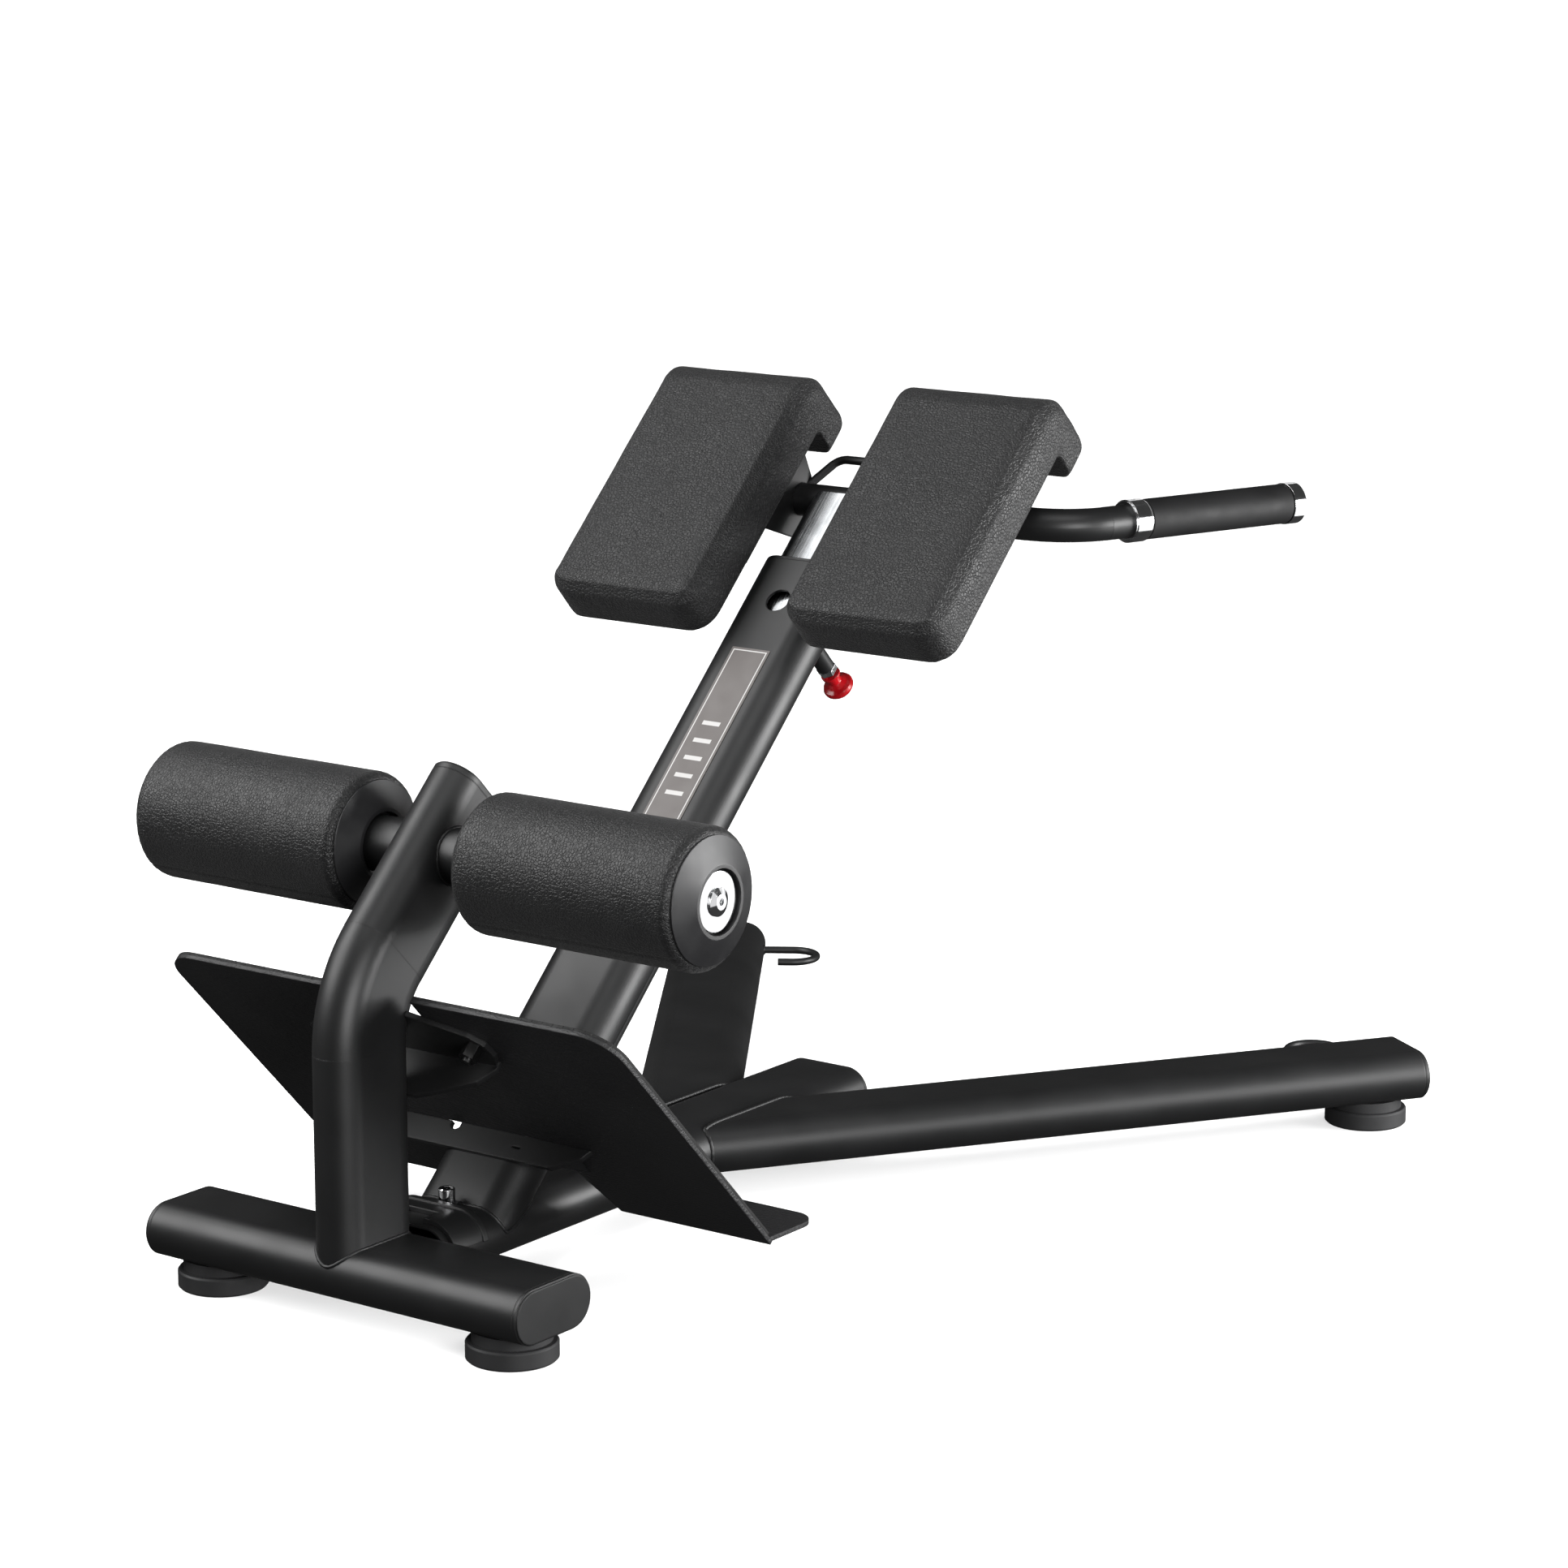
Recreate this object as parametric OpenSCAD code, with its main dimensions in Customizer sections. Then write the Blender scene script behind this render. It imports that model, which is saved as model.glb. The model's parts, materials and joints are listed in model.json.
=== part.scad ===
// Roman chair: a 45 degree back-extension bench.
// Millimetres. +X points forward from the foot rollers to the hip pads, +Y is left, +Z is up.
// The origin is on the floor, at the middle of the machine's footprint.

/* [Flat-oval frame tube] */
// Width of the frame tube's section
tube_w = 120; // [90:1:150]
// Thickness of the frame tube's section
tube_t = 58; // [40:1:70]
// Wall of all frame tubes
tube_wall = 3; // [2:0.5:5]
// Height of the base tubes' centre line above the floor
base_z = 61; // [50:1:80]
// Thickness of the plates that close the tube ends
end_plate_t = 6; // [3:1:10]

/* [Base] */
// Half the length of the rear cross-foot, end plates included
rear_foot_half = 253; // [200:1:320]
// Distance from the middle to a rear foot
rear_pad_y = 198; // [150:1:240]
// Front end of the central beam
beam_front_x = 824; // [600:1:900]
// Angle between a front leg and the beam
leg_angle = 34; // [20:1:45]
// Place on the beam where the two legs' centre lines meet
leg_root_x = 538.7; // [450:0.1:640]
// Reach of a leg's centre line in X
leg_end_x = 1298; // [1000:1:1500]
// Place of the front feet in X
front_pad_x = 1253; // [900:1:1400]

/* [Feet] */
// Radius of a rubber foot
foot_r = 48; // [30:1:60]
// Height of a rubber foot
foot_h = 20; // [12:1:30]
// Radius of the collar over a rubber foot
collar_r = 42; // [25:1:50]

/* [Incline] */
// Angle of the incline above the floor
incline = 44.17; // [30:0.01:60]
// Height of the incline tube's centre line, square to the incline
incline_n = -66.5; // [-90:0.5:-50]
// Upper end of the incline tube, along the incline
incline_top_u = 1035; // [900:1:1150]
// Place of the pop pin along the incline
pin_u = 980; // [900:1:1020]
// Distance between two height settings
hole_pitch = 25; // [20:1:40]

/* [Roller post] */
// Width of the post's section, front to back
post_w = 115; // [90:1:130]
// Height of the bent post's centre line, square to the incline
post_n = 248; // [200:1:300]
// Radius of the post's bend
post_bend_r = 130; // [100:1:200]
// Upper end of the post, along the incline
post_top_u = 500; // [450:1:560]

/* [Rollers] */
// Radius of a roller pad
roller_r = 75; // [50:1:90]
// Inner end of a roller pad
roller_in_y = 80; // [50:1:100]
// Outer end of a roller pad
roller_out_y = 359; // [250:1:400]
// Roller axis, along the incline
roller_u = 418.5; // [380:0.5:460]
// Roller axis, square to the incline
roller_n = 254.5; // [220:0.5:290]
// Radius of the fixed axle tube
axle_r = 30; // [20:1:34]

/* [Footplate] */
// Front face of the footplate, along the incline
plate_u = 265; // [230:1:300]
// Lower edge of the footplate, square to the incline
plate_low_n = -166; // [-180:1:-120]
// Upper edge of the footplate, square to the incline
plate_top_n = 226; // [180:1:260]
// Half the width of the footplate
plate_half = 302; // [220:1:340]

/* [Pads] */
// Inner side of a hip pad
pad_in_y = 58.4; // [50:0.1:90]
// Outer side of a hip pad
pad_out_y = 272.6; // [200:0.1:320]
// Lower end of a hip pad, along the incline
pad_low_u = 912; // [850:1:950]
// Upper end of a hip pad, along the incline
pad_top_u = 1264; // [1150:1:1320]
// Front face of a hip pad, square to the incline
pad_face_n = 32.6; // [20:0.1:50]
// Back face of a hip pad, square to the incline
pad_back_n = -30; // [-40:0.5:-20]

/* [Slider and handlebar] */
// Width of the slider's section
slider_w = 92; // [70:1:100]
// Thickness of the slider's section
slider_t = 40; // [30:1:48]
// Middle of the handlebar, along the incline
bar_u = 1140; // [1100:1:1180]
// Radius of the handlebar tube
bar_r = 19; // [12:0.5:22]
// Radius of the handlebar's bends
bar_bend_r = 75; // [50:1:100]
// Half the handlebar's width where its bends would have corners
bar_corner_y = 298; // [260:1:340]
// Angle of a grip, outward from straight ahead
grip_angle = 19.3; // [0:0.1:30]
// Radius of a grip
grip_r = 23; // [20:0.5:26]

/* [Hidden] */
$fn = 64;
frame_grey = [0.13, 0.13, 0.135];
rubber_black = [0.05, 0.05, 0.05];
leather_black = [0.09, 0.09, 0.095];
plastic_black = [0.08, 0.08, 0.08];
chrome = [0.8, 0.8, 0.82];
steel = [0.62, 0.63, 0.64];
knob_red = [0.7, 0.03, 0.04];
plate_grey = [0.42, 0.4, 0.39];
leg_cut_y = 45;
lap = 1;
swage = 0.3;
fit_gap = 0.05;
end_step = 1.5;
middle_x = (leg_end_x + (tube_w / 2 - end_step) * sin(leg_angle) - tube_w / 2) / 2;
leg_end_s = (leg_end_x - leg_root_x) / cos(leg_angle);
front_pad_y = (front_pad_x - leg_root_x) * tan(leg_angle);
collar_h = base_z - tube_t / 2 - foot_h;
tube_top_z = base_z + tube_t / 2;
post_corner_z = post_n / cos(incline);
post_tangent = post_bend_r * tan((90 - incline) / 2);
bar_x = bar_u * cos(incline) - incline_n * sin(incline);
bar_z = bar_u * sin(incline) + incline_n * cos(incline);
bar_turn = 90 - grip_angle;
bar_tangent = bar_bend_r * tan(bar_turn / 2);
grip_start = 106;
grip_end = 315;
bar_end = 318;
bar_wall = 2.5;
tube_top_n = incline_n + tube_t / 2;
tube_low_n = incline_n - tube_t / 2;
plate_t = 5;
tread_t = 3;
steel_u = plate_u - tread_t - plate_t;
plate_low_x = plate_u * cos(incline) - plate_low_n * sin(incline);
plate_low_z = plate_u * sin(incline) + plate_low_n * cos(incline);
roller_hole_r = 34;
roller_dome = 12;
roller_rim_r = 66.5;
roller_sleeve_r = 40;
pin_r = 6;
pin_hole_r = 7;
housing_end_n = -167.5;
sides = [-1, 1];

// Places a child that is drawn with X at the rear feet.
module machine() {
  translate([-middle_x, 0, 0]) children();
}

// Places a child drawn along the incline: X up the incline, Z square to it.
module on_incline() {
  machine() rotate([0, -incline, 0]) children();
}

module mirror_if(flip) {
  if (flip) mirror([0, 1, 0]) children();
  else children();
}

// A flat-oval section, w along X and t along Y.
module flat_oval(w, t) {
  square([w - t, t], center = true);
  for (side = sides) translate([side * (w - t) / 2, 0]) circle(d = t);
}

// A flat-oval bar along X, w across Y and t high, from x = from to x = to.
module oval_bar_x(w, t, from, to) {
  translate([from, 0, 0]) rotate([0, 90, 0]) linear_extrude(to - from)
    rotate(90) flat_oval(w, t);
}

module oval_tube_x(w, t, wall, from, to) {
  difference() {
    oval_bar_x(w, t, from, to);
    oval_bar_x(w - 2 * wall, t - 2 * wall, from - 1, to + 1);
  }
}

// A cylinder along Y from y = from to y = to.
module rod_y(r, from, to) {
  translate([0, from, 0]) rotate([-90, 0, 0]) cylinder(r = r, h = to - from);
}

// An end plate with a small step, as a welded plate has.
module end_plate(w, t) {
  linear_extrude(end_plate_t - 2) flat_oval(w, t);
  translate([0, 0, end_plate_t - 2]) linear_extrude(2)
    flat_oval(w - 2 * end_step, t - 2 * end_step);
}

// ---- base ----

module crossfoot_bar(w, t, half) {
  translate([0, half, base_z]) rotate([90, 0, 0]) linear_extrude(2 * half) flat_oval(w, t);
}

module rear_crossfoot() color(frame_grey) machine() {
  difference() {
    crossfoot_bar(tube_w, tube_t, rear_foot_half - end_plate_t);
    crossfoot_bar(tube_w - 2 * tube_wall, tube_t - 2 * tube_wall, rear_foot_half);
  }
}

module rear_end_plates() color(frame_grey) machine() {
  for (side = sides)
    translate([0, side * (rear_foot_half - end_plate_t), base_z]) rotate([-side * 90, 0, 0])
      end_plate(tube_w, tube_t);
}

module beam_solid(grow) {
  translate([0, 0, base_z])
    oval_bar_x(tube_w + grow, tube_t + grow, tube_w / 2 + 2, beam_front_x - end_plate_t);
}

module base_beam() color(frame_grey) machine() {
  difference() {
    beam_solid(0);
    beam_hollow();
  }
}

module beam_hollow() {
  translate([0, 0, base_z])
    oval_bar_x(tube_w - 2 * tube_wall, tube_t - 2 * tube_wall, 0, beam_front_x);
}

module beam_end_plate() color(frame_grey) machine() {
  translate([beam_front_x - end_plate_t, 0, base_z]) rotate([0, 90, 0]) rotate(90)
    end_plate(tube_w, tube_t);
}

// Places a child whose X runs along a leg's centre line, from where the two lines meet.
module along_leg(side) {
  machine() translate([leg_root_x, 0, base_z]) rotate(side * leg_angle) children();
}

module leg(side) color(frame_grey) difference() {
  along_leg(side) oval_tube_x(tube_w, tube_t, tube_wall, 0, leg_end_s - end_plate_t);
  machine() mirror_if(side < 0) translate([0, leg_cut_y - 500, 0]) cube([1500, 500, 200]);
  machine() beam_solid(0);
}

module left_leg() {
  leg(1);
}

module right_leg() {
  leg(-1);
}

module leg_end_plate(side) color(frame_grey) along_leg(side)
  translate([leg_end_s - end_plate_t, 0, 0]) rotate([0, 90, 0]) rotate(90)
    end_plate(tube_w, tube_t);

module left_leg_end_plate() {
  leg_end_plate(1);
}

module right_leg_end_plate() {
  leg_end_plate(-1);
}

// A rubber foot: a disc with a softened lower and upper edge.
module foot(x, y) color(rubber_black) machine() translate([x, y, 0]) rotate_extrude()
  polygon([[0, 0], [foot_r - 2, 0], [foot_r, 2], [foot_r, foot_h - 2], [foot_r - 1.5, foot_h],
    [0, foot_h]]);

module rear_left_foot() {
  foot(0, rear_pad_y);
}

module rear_right_foot() {
  foot(0, -rear_pad_y);
}

module front_left_foot() {
  foot(front_pad_x, front_pad_y);
}

module front_right_foot() {
  foot(front_pad_x, -front_pad_y);
}

module collar(x, y) {
  translate([x, y, foot_h]) cylinder(r = collar_r, h = collar_h);
}

module foot_collars() color(rubber_black) machine() {
  for (side = sides) {
    collar(0, side * rear_pad_y);
    collar(front_pad_x, side * front_pad_y);
  }
}

// A hook of round rod: straight out of the leg's inner side, a half turn, and a short way back.
hook_rod_r = 4.75;
hook_bend_r = 31.5;
hook_out = 38;
hook_back = 18;
hook_s = 872;
hook_z = 2;

module band_hook(side) color(frame_grey) along_leg(side) mirror_if(side < 0)
  translate([hook_s, -tube_w / 2, hook_z]) {
    difference() {
      rod_y(hook_rod_r, -hook_out, 8);
      translate([0, tube_w / 2, -hook_z]) oval_bar_x(tube_w, tube_t, -50, 50);
    }
    translate([-2 * hook_bend_r, 0, 0]) rod_y(hook_rod_r, -hook_out, -hook_out + hook_back);
    translate([-hook_bend_r, -hook_out, 0]) rotate(180) rotate_extrude(angle = 180)
      translate([hook_bend_r, 0]) circle(r = hook_rod_r);
  }

module left_band_hook() {
  band_hook(1);
}

module right_band_hook() {
  band_hook(-1);
}

// The collar that joins the cross-foot to the beam: an arch over the beam with a raised front edge.
saddle_from = 70;
saddle_to = 122;
saddle_t = 6;

module saddle_arch(grow, from, to) {
  translate([0, 0, base_z]) oval_bar_x(tube_w + 2 * grow, tube_t + 2 * grow, from, to);
}

module beam_saddle() color(frame_grey) machine() {
  difference() {
    union() {
      saddle_arch(saddle_t, saddle_from, saddle_to);
      saddle_arch(saddle_t + 2, saddle_to - 8, saddle_to);
    }
    beam_solid(0);
    translate([0, -tube_w, -tube_w]) cube([2 * tube_w, 2 * tube_w, tube_w + base_z + 6]);
    translate([saddle_from - 1, -22, tube_top_z]) cube([26, 44, 20]);
  }
}

saddle_bolt_x = 134;
saddle_washer_t = 3;

module saddle_washer() color(chrome) machine()
  translate([saddle_bolt_x, 0, tube_top_z]) difference() {
    cylinder(r = 12, h = saddle_washer_t);
    translate([0, 0, -1]) cylinder(r = 6.2, h = saddle_washer_t + 2);
  }

module saddle_bolt() color(chrome) machine()
  translate([saddle_bolt_x, 0, tube_top_z + saddle_washer_t]) difference() {
    union() {
      cylinder(r = 9, h = 15);
      translate([0, 0, 15]) cylinder(r1 = 9, r2 = 7.8, h = 1.2);
      translate([0, 0, -saddle_washer_t]) cylinder(r = 6, h = saddle_washer_t + 1);
    }
    translate([0, 0, 8]) cylinder(r = 5.2, h = 10, $fn = 6);
  }

// ---- roller post and rollers ----

// The post as a solid: a vertical length, a bend and a length parallel to the incline.
// The straight lengths are a hair wider than the bend and lap it, as a swaged tube does.
module post_solid(w, t, extra) {
  bend_z = post_corner_z - post_tangent;
  bend_u = post_corner_z * sin(incline) + post_tangent;
  translate([0, 0, base_z]) linear_extrude(bend_z + lap - base_z) flat_oval(w + swage, t + swage);
  translate([post_bend_r, 0, bend_z]) rotate([90, 0, 0]) rotate(90 + incline)
    rotate_extrude(angle = 90 - incline, $fn = 128) translate([post_bend_r, 0]) flat_oval(w, t);
  rotate([0, -incline, 0]) translate([bend_u - lap, 0, post_n]) rotate([0, 90, 0])
    linear_extrude(post_top_u + extra - bend_u + lap) flat_oval(w + swage, t + swage);
}

post_cap_t = 8;

module roller_post() color(frame_grey) machine() {
  difference() {
    post_solid(post_w, tube_t, -post_cap_t);
    post_solid(post_w - 2 * tube_wall, tube_t - 2 * tube_wall, post_cap_t);
    crossfoot_bar(tube_w, tube_t, rear_foot_half);
    at_axle_local() rod_y(axle_r, -tube_w, tube_w);
  }
}

module roller_post_cap() color(frame_grey) on_incline()
  translate([post_top_u - post_cap_t, 0, post_n]) rotate([0, 90, 0]) {
    linear_extrude(post_cap_t - 2) flat_oval(post_w, tube_t);
    translate([0, 0, post_cap_t - 2]) linear_extrude(2) flat_oval(post_w - 3, tube_t - 3);
  }

module at_axle_local() {
  rotate([0, -incline, 0]) translate([roller_u, 0, roller_n]) children();
}

module at_axle() {
  machine() at_axle_local() children();
}

axle_end_y = roller_out_y + 5;

axle_wall = 4;
plug_length = 30;
axle_screw_r = 6;

module axle_tube() color(frame_grey) at_axle() difference() {
  rod_y(axle_r, -axle_end_y, axle_end_y);
  rod_y(axle_r - axle_wall, -axle_end_y - 1, axle_end_y + 1);
}

// The welded plugs that the end screws turn into.
module axle_plugs() color(steel) at_axle() for (side = sides) mirror_if(side < 0) difference() {
  rod_y(axle_r - axle_wall, axle_end_y - plug_length, axle_end_y);
  rod_y(axle_screw_r, axle_end_y - plug_length - 1, axle_end_y + 1);
}

axle_washer_t = 3;

module axle_washers() color(chrome) at_axle() for (side = sides) mirror_if(side < 0)
  difference() {
    rod_y(31, axle_end_y, axle_end_y + axle_washer_t);
    rod_y(6.2, axle_end_y - 1, axle_end_y + axle_washer_t + 1);
  }

module axle_screws() color(chrome) at_axle() for (side = sides) mirror_if(side < 0)
  translate([0, axle_end_y + axle_washer_t, 0]) rotate([-90, 0, 0]) difference() {
    union() {
      cylinder(r = 15, h = 2);
      translate([0, 0, 2]) cylinder(r1 = 15, r2 = 8, h = 3.5);
      translate([0, 0, -28]) cylinder(r = axle_screw_r, h = 29);
    }
    translate([0, 0, 2]) cylinder(r = 4, h = 5, $fn = 6);
  }

// A roller pad: a padded tube with rounded ends, closed by two domed caps.
roller_edge_r = 11;

module roller_pad(side) color(leather_black) at_axle() mirror_if(side < 0)
  translate([0, roller_in_y, 0]) rotate([-90, 0, 0]) rotate_extrude($fn = 96) difference() {
    union() {
      translate([roller_sleeve_r, 0])
        square([roller_r - roller_sleeve_r - roller_edge_r, roller_out_y - roller_in_y]);
      translate([roller_sleeve_r, roller_edge_r])
        square([roller_r - roller_sleeve_r, roller_out_y - roller_in_y - 2 * roller_edge_r]);
      for (end = [roller_edge_r, roller_out_y - roller_in_y - roller_edge_r])
        translate([roller_r - roller_edge_r, end]) circle(r = roller_edge_r);
    }
    translate([0, -50]) square([roller_sleeve_r, 500]);
  }

module left_roller_pad() {
  roller_pad(1);
}

module right_roller_pad() {
  roller_pad(-1);
}

// A domed cap whose rim lies on the pad's end and whose middle stands out around the axle.
module roller_cap() color(plastic_black) rotate([-90, 0, 0]) rotate_extrude($fn = 96)
  polygon([[roller_hole_r, 0], [roller_rim_r, 0], [roller_rim_r, 1.5], [roller_hole_r + 4, roller_dome],
    [roller_hole_r, roller_dome]]);

module roller_outer_cap(side) at_axle() mirror_if(side < 0) translate([0, roller_out_y, 0])
  roller_cap();

module roller_inner_cap(side) at_axle() mirror_if(side < 0) translate([0, roller_in_y, 0])
  mirror([0, 1, 0]) roller_cap();

module left_roller_outer_cap() {
  roller_outer_cap(1);
}

module right_roller_outer_cap() {
  roller_outer_cap(-1);
}

module left_roller_inner_cap() {
  roller_inner_cap(1);
}

module right_roller_inner_cap() {
  roller_inner_cap(-1);
}

// The plastic sleeve that turns on the axle tube inside a roller pad.
module roller_sleeve(side) color(plastic_black) at_axle() mirror_if(side < 0) difference() {
  rod_y(roller_sleeve_r, roller_in_y, roller_out_y);
  rod_y(axle_r + fit_gap, roller_in_y - 1, roller_out_y + 1);
}

module left_roller_sleeve() {
  roller_sleeve(1);
}

module right_roller_sleeve() {
  roller_sleeve(-1);
}

// ---- footplate ----

// The plate's outline, X across the machine and Y up the plate.
module plate_outline() {
  corner = 42;
  notch_n = tube_top_n + bracket_t + 0.3;
  difference() {
    union() {
      translate([-plate_half, plate_low_n])
        square([2 * plate_half, plate_top_n - plate_low_n - corner]);
      translate([-plate_half + corner, plate_low_n])
        square([2 * (plate_half - corner), plate_top_n - plate_low_n]);
      for (side = sides) translate([side * (plate_half - corner), plate_top_n - corner])
        circle(r = corner);
    }
    translate([-46, 176]) square([92, 100]);
    translate([0, 176]) circle(r = 46);
    polygon([[-104, plate_low_n - 1], [-85, -90], [-66, notch_n], [66, notch_n], [85, -90],
      [104, plate_low_n - 1]]);
    for (side = sides) translate([side * bracket_bolt_y, bracket_bolt_n]) circle(r = bolt_hole_r);
  }
}

// Extrudes a flat shape, X across and Y up the plate, from u = from to u = to.
module plate_layer(from, to) {
  on_incline() translate([from, 0, 0]) rotate([90, 0, 90]) linear_extrude(to - from) children();
}

lip_length = 82;
lip_corner = 28;

module lip_outline() {
  x = plate_low_x;
  difference() {
    union() {
      translate([x - 6, -plate_half]) square([lip_length + 6 - lip_corner, 2 * plate_half]);
      translate([x - 6, -plate_half + lip_corner])
        square([lip_length + 6, 2 * (plate_half - lip_corner)]);
      for (side = sides)
        translate([x + lip_length - lip_corner, side * (plate_half - lip_corner)])
          circle(r = lip_corner);
    }
    translate([x - 10, -104]) square([lip_length + 20, 208]);
  }
}

module footplate() color(frame_grey) {
  plate_layer(steel_u, steel_u + plate_t) plate_outline();
  machine() difference() {
    translate([0, 0, plate_low_z - 2]) linear_extrude(plate_t) lip_outline();
    rotate([0, -incline, 0]) translate([plate_u - 100 - tread_t - plate_t, -400, -300])
      cube([100, 800, 300]);
  }
}

module footplate_tread() color(rubber_black) plate_layer(plate_u - tread_t, plate_u)
  intersection() {
    plate_outline();
    translate([-400, plate_low_n + 12]) square([800, 600]);
  }

// The folded bracket between the post and the plate: a web on the plate and a floor to the post.
fold_n = 134;
bracket_t = 6;
bracket_bolt_y = 101;
bracket_bolt_n = 168;
bolt_hole_r = 5.2;

module bracket_web() {
  difference() {
    polygon([[-110, fold_n], [-118, 152], [-116, 172], [-100, 186], [-30, 206], [30, 206], [100, 186],
      [116, 172], [118, 152], [110, fold_n]]);
    for (side = sides) translate([side * bracket_bolt_y, bracket_bolt_n]) circle(r = bolt_hole_r);
  }
}

module upper_bracket() color(frame_grey) difference() {
  union() {
    plate_layer(steel_u - bracket_t, steel_u) bracket_web();
    on_incline() translate([0, 0, fold_n - bracket_t]) linear_extrude(bracket_t)
      polygon([[steel_u, -112], [steel_u, 112], [248, 112], [228, 96], [205, 44], [199, 29],
        [199, -29], [205, -44], [228, -96], [248, -112]]);
  }
  machine() post_solid(post_w, tube_t, 0);
}

module hex_prism(r, h) {
  cylinder(r = r, h = h, $fn = 6);
}

module bracket_bolts() color(steel) on_incline() for (side = sides)
  translate([0, side * bracket_bolt_y, bracket_bolt_n]) rotate([0, 90, 0]) {
    translate([0, 0, steel_u - bracket_t - 20]) cylinder(r = 5, h = 20 + bracket_t + plate_t + tread_t);
    translate([0, 0, plate_u]) cylinder(r1 = 10, r2 = 7, h = 4);
  }

module bracket_nuts() color(steel) on_incline() for (side = sides)
  translate([steel_u - bracket_t - 16, side * bracket_bolt_y, bracket_bolt_n]) rotate([0, 90, 0])
    difference() {
      hex_prism(10.5, 16);
      translate([0, 0, -1]) cylinder(r = 5, h = 20);
    }

// The wide plate on the incline tube's top face that carries the footplate, with two gussets.
module lower_bracket() color(frame_grey) on_incline() {
  translate([0, 0, tube_top_n]) linear_extrude(bracket_t) difference() {
    union() {
      polygon([[227, -98], [227, 98], [245, 130], [steel_u, 138], [steel_u, -138], [245, -130]]);
      translate([steel_u - 1, -48]) square([plate_u - steel_u + 5, 96]);
    }
    translate([steel_u - 2, 45]) circle(r = 7);
    translate([steel_u - 16, -50]) square([2, 12]);
  }
  for (side = sides) translate([0, side * 104, 0]) rotate([90, 0, 0])
    translate([0, 0, -2.5]) linear_extrude(5)
      polygon([[steel_u, tube_top_n], [steel_u, tube_top_n - 48], [233, tube_top_n]]);
}

// ---- incline ----

module incline_solid(grow, to) {
  translate([0, 0, incline_n]) oval_bar_x(tube_w + grow, tube_t + grow, 60, to);
}

// A solid that fills everything under the beam's upper surface.
module under_beam() {
  beam_solid(2 * fit_gap);
  translate([-10, -tube_w, -200]) cube([900, 2 * tube_w, 200 + base_z]);
}

module window() {
  translate([977, 0, tube_top_n - 8]) cylinder(r = 15, h = 20);
}

module pin_bore(r) {
  translate([pin_u, 0, -200]) cylinder(r = r, h = 200 + incline_n);
}

module incline_tube() color(frame_grey) machine() difference() {
  rotate([0, -incline, 0]) difference() {
    incline_solid(0, incline_top_u);
    incline_solid(-2 * tube_wall, incline_top_u + 1);
    window();
    pin_bore(pin_r + fit_gap);
  }
  under_beam();
}

// A smaller bent tube that stands on the beam and runs up under the incline tube.
brace_w = 56;
brace_t = 38;
brace_bend_r = 100;
brace_from_u = 430;
brace_to_u = 620;
brace_n = tube_low_n - brace_t / 2;

module brace_solid(w, t, to) {
  lower_x = brace_from_u * cos(incline) - brace_n * sin(incline);
  lower_z = brace_from_u * sin(incline) + brace_n * cos(incline);
  centre_x = lower_x + brace_bend_r * sin(incline);
  centre_z = lower_z - brace_bend_r * cos(incline);
  rotate([0, -incline, 0]) translate([0, 0, brace_n])
    oval_bar_x(w + swage, t + swage, brace_from_u - lap, to);
  translate([centre_x, 0, centre_z]) rotate([90, 0, 0]) rotate(90 + incline)
    rotate_extrude(angle = 90 - incline) translate([brace_bend_r, 0]) rotate(90) flat_oval(w, t);
  translate([centre_x - brace_bend_r, 0, base_z]) linear_extrude(centre_z - base_z + lap)
    rotate(90) flat_oval(w + swage, t + swage);
}

module incline_brace() color(frame_grey) machine() difference() {
  brace_solid(brace_w, brace_t, brace_to_u);
  brace_solid(brace_w - 2 * tube_wall, brace_t - 2 * tube_wall, brace_to_u - end_plate_t);
  under_beam();
  rotate([0, -incline, 0]) incline_solid(0, 1000);
}

bush_length = 38;

module mouth_bush() color(plastic_black) on_incline() translate([0, 0, incline_n]) difference() {
  union() {
    oval_bar_x(tube_w - 2 * tube_wall - 2 * fit_gap, tube_t - 2 * tube_wall - 2 * fit_gap,
      incline_top_u - bush_length, incline_top_u + 1);
    oval_bar_x(tube_w, tube_t, incline_top_u, incline_top_u + 3);
  }
  oval_bar_x(slider_w + 2 * fit_gap, slider_t + 2 * fit_gap, incline_top_u - 60, incline_top_u + 10);
}

name_from_u = 600;
name_to_u = 907;
name_half = 26;

module name_plate() color(plate_grey) on_incline()
  translate([name_from_u, -name_half, tube_top_n])
    cube([name_to_u - name_from_u, 2 * name_half, 0.8]);

// ---- pop pin ----

module pin_housing() color(frame_grey) on_incline() translate([pin_u, 0, 0]) difference() {
  translate([0, 0, housing_end_n]) cylinder(r = 10.5, h = tube_low_n - housing_end_n);
  translate([0, 0, -200]) cylinder(r = pin_r + fit_gap, h = 200);
}

module pin_lock_nut() color(steel) on_incline() translate([pin_u, 0, housing_end_n - 7])
  difference() {
    hex_prism(12, 7);
    translate([0, 0, -1]) cylinder(r = pin_r + fit_gap, h = 10);
  }

// The pin is parked just clear of the slider; it springs in when it is let go.
pin_tip_n = incline_n - slider_t / 2 - 0.4;

module pop_pin() color(steel) on_incline() translate([pin_u, 0, 0]) {
  translate([0, 0, -196]) cylinder(r = pin_r, h = 196 + pin_tip_n - 1.5);
  translate([0, 0, pin_tip_n - 1.5]) cylinder(r1 = pin_r, r2 = pin_r - 1.5, h = 1.5);
}

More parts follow.
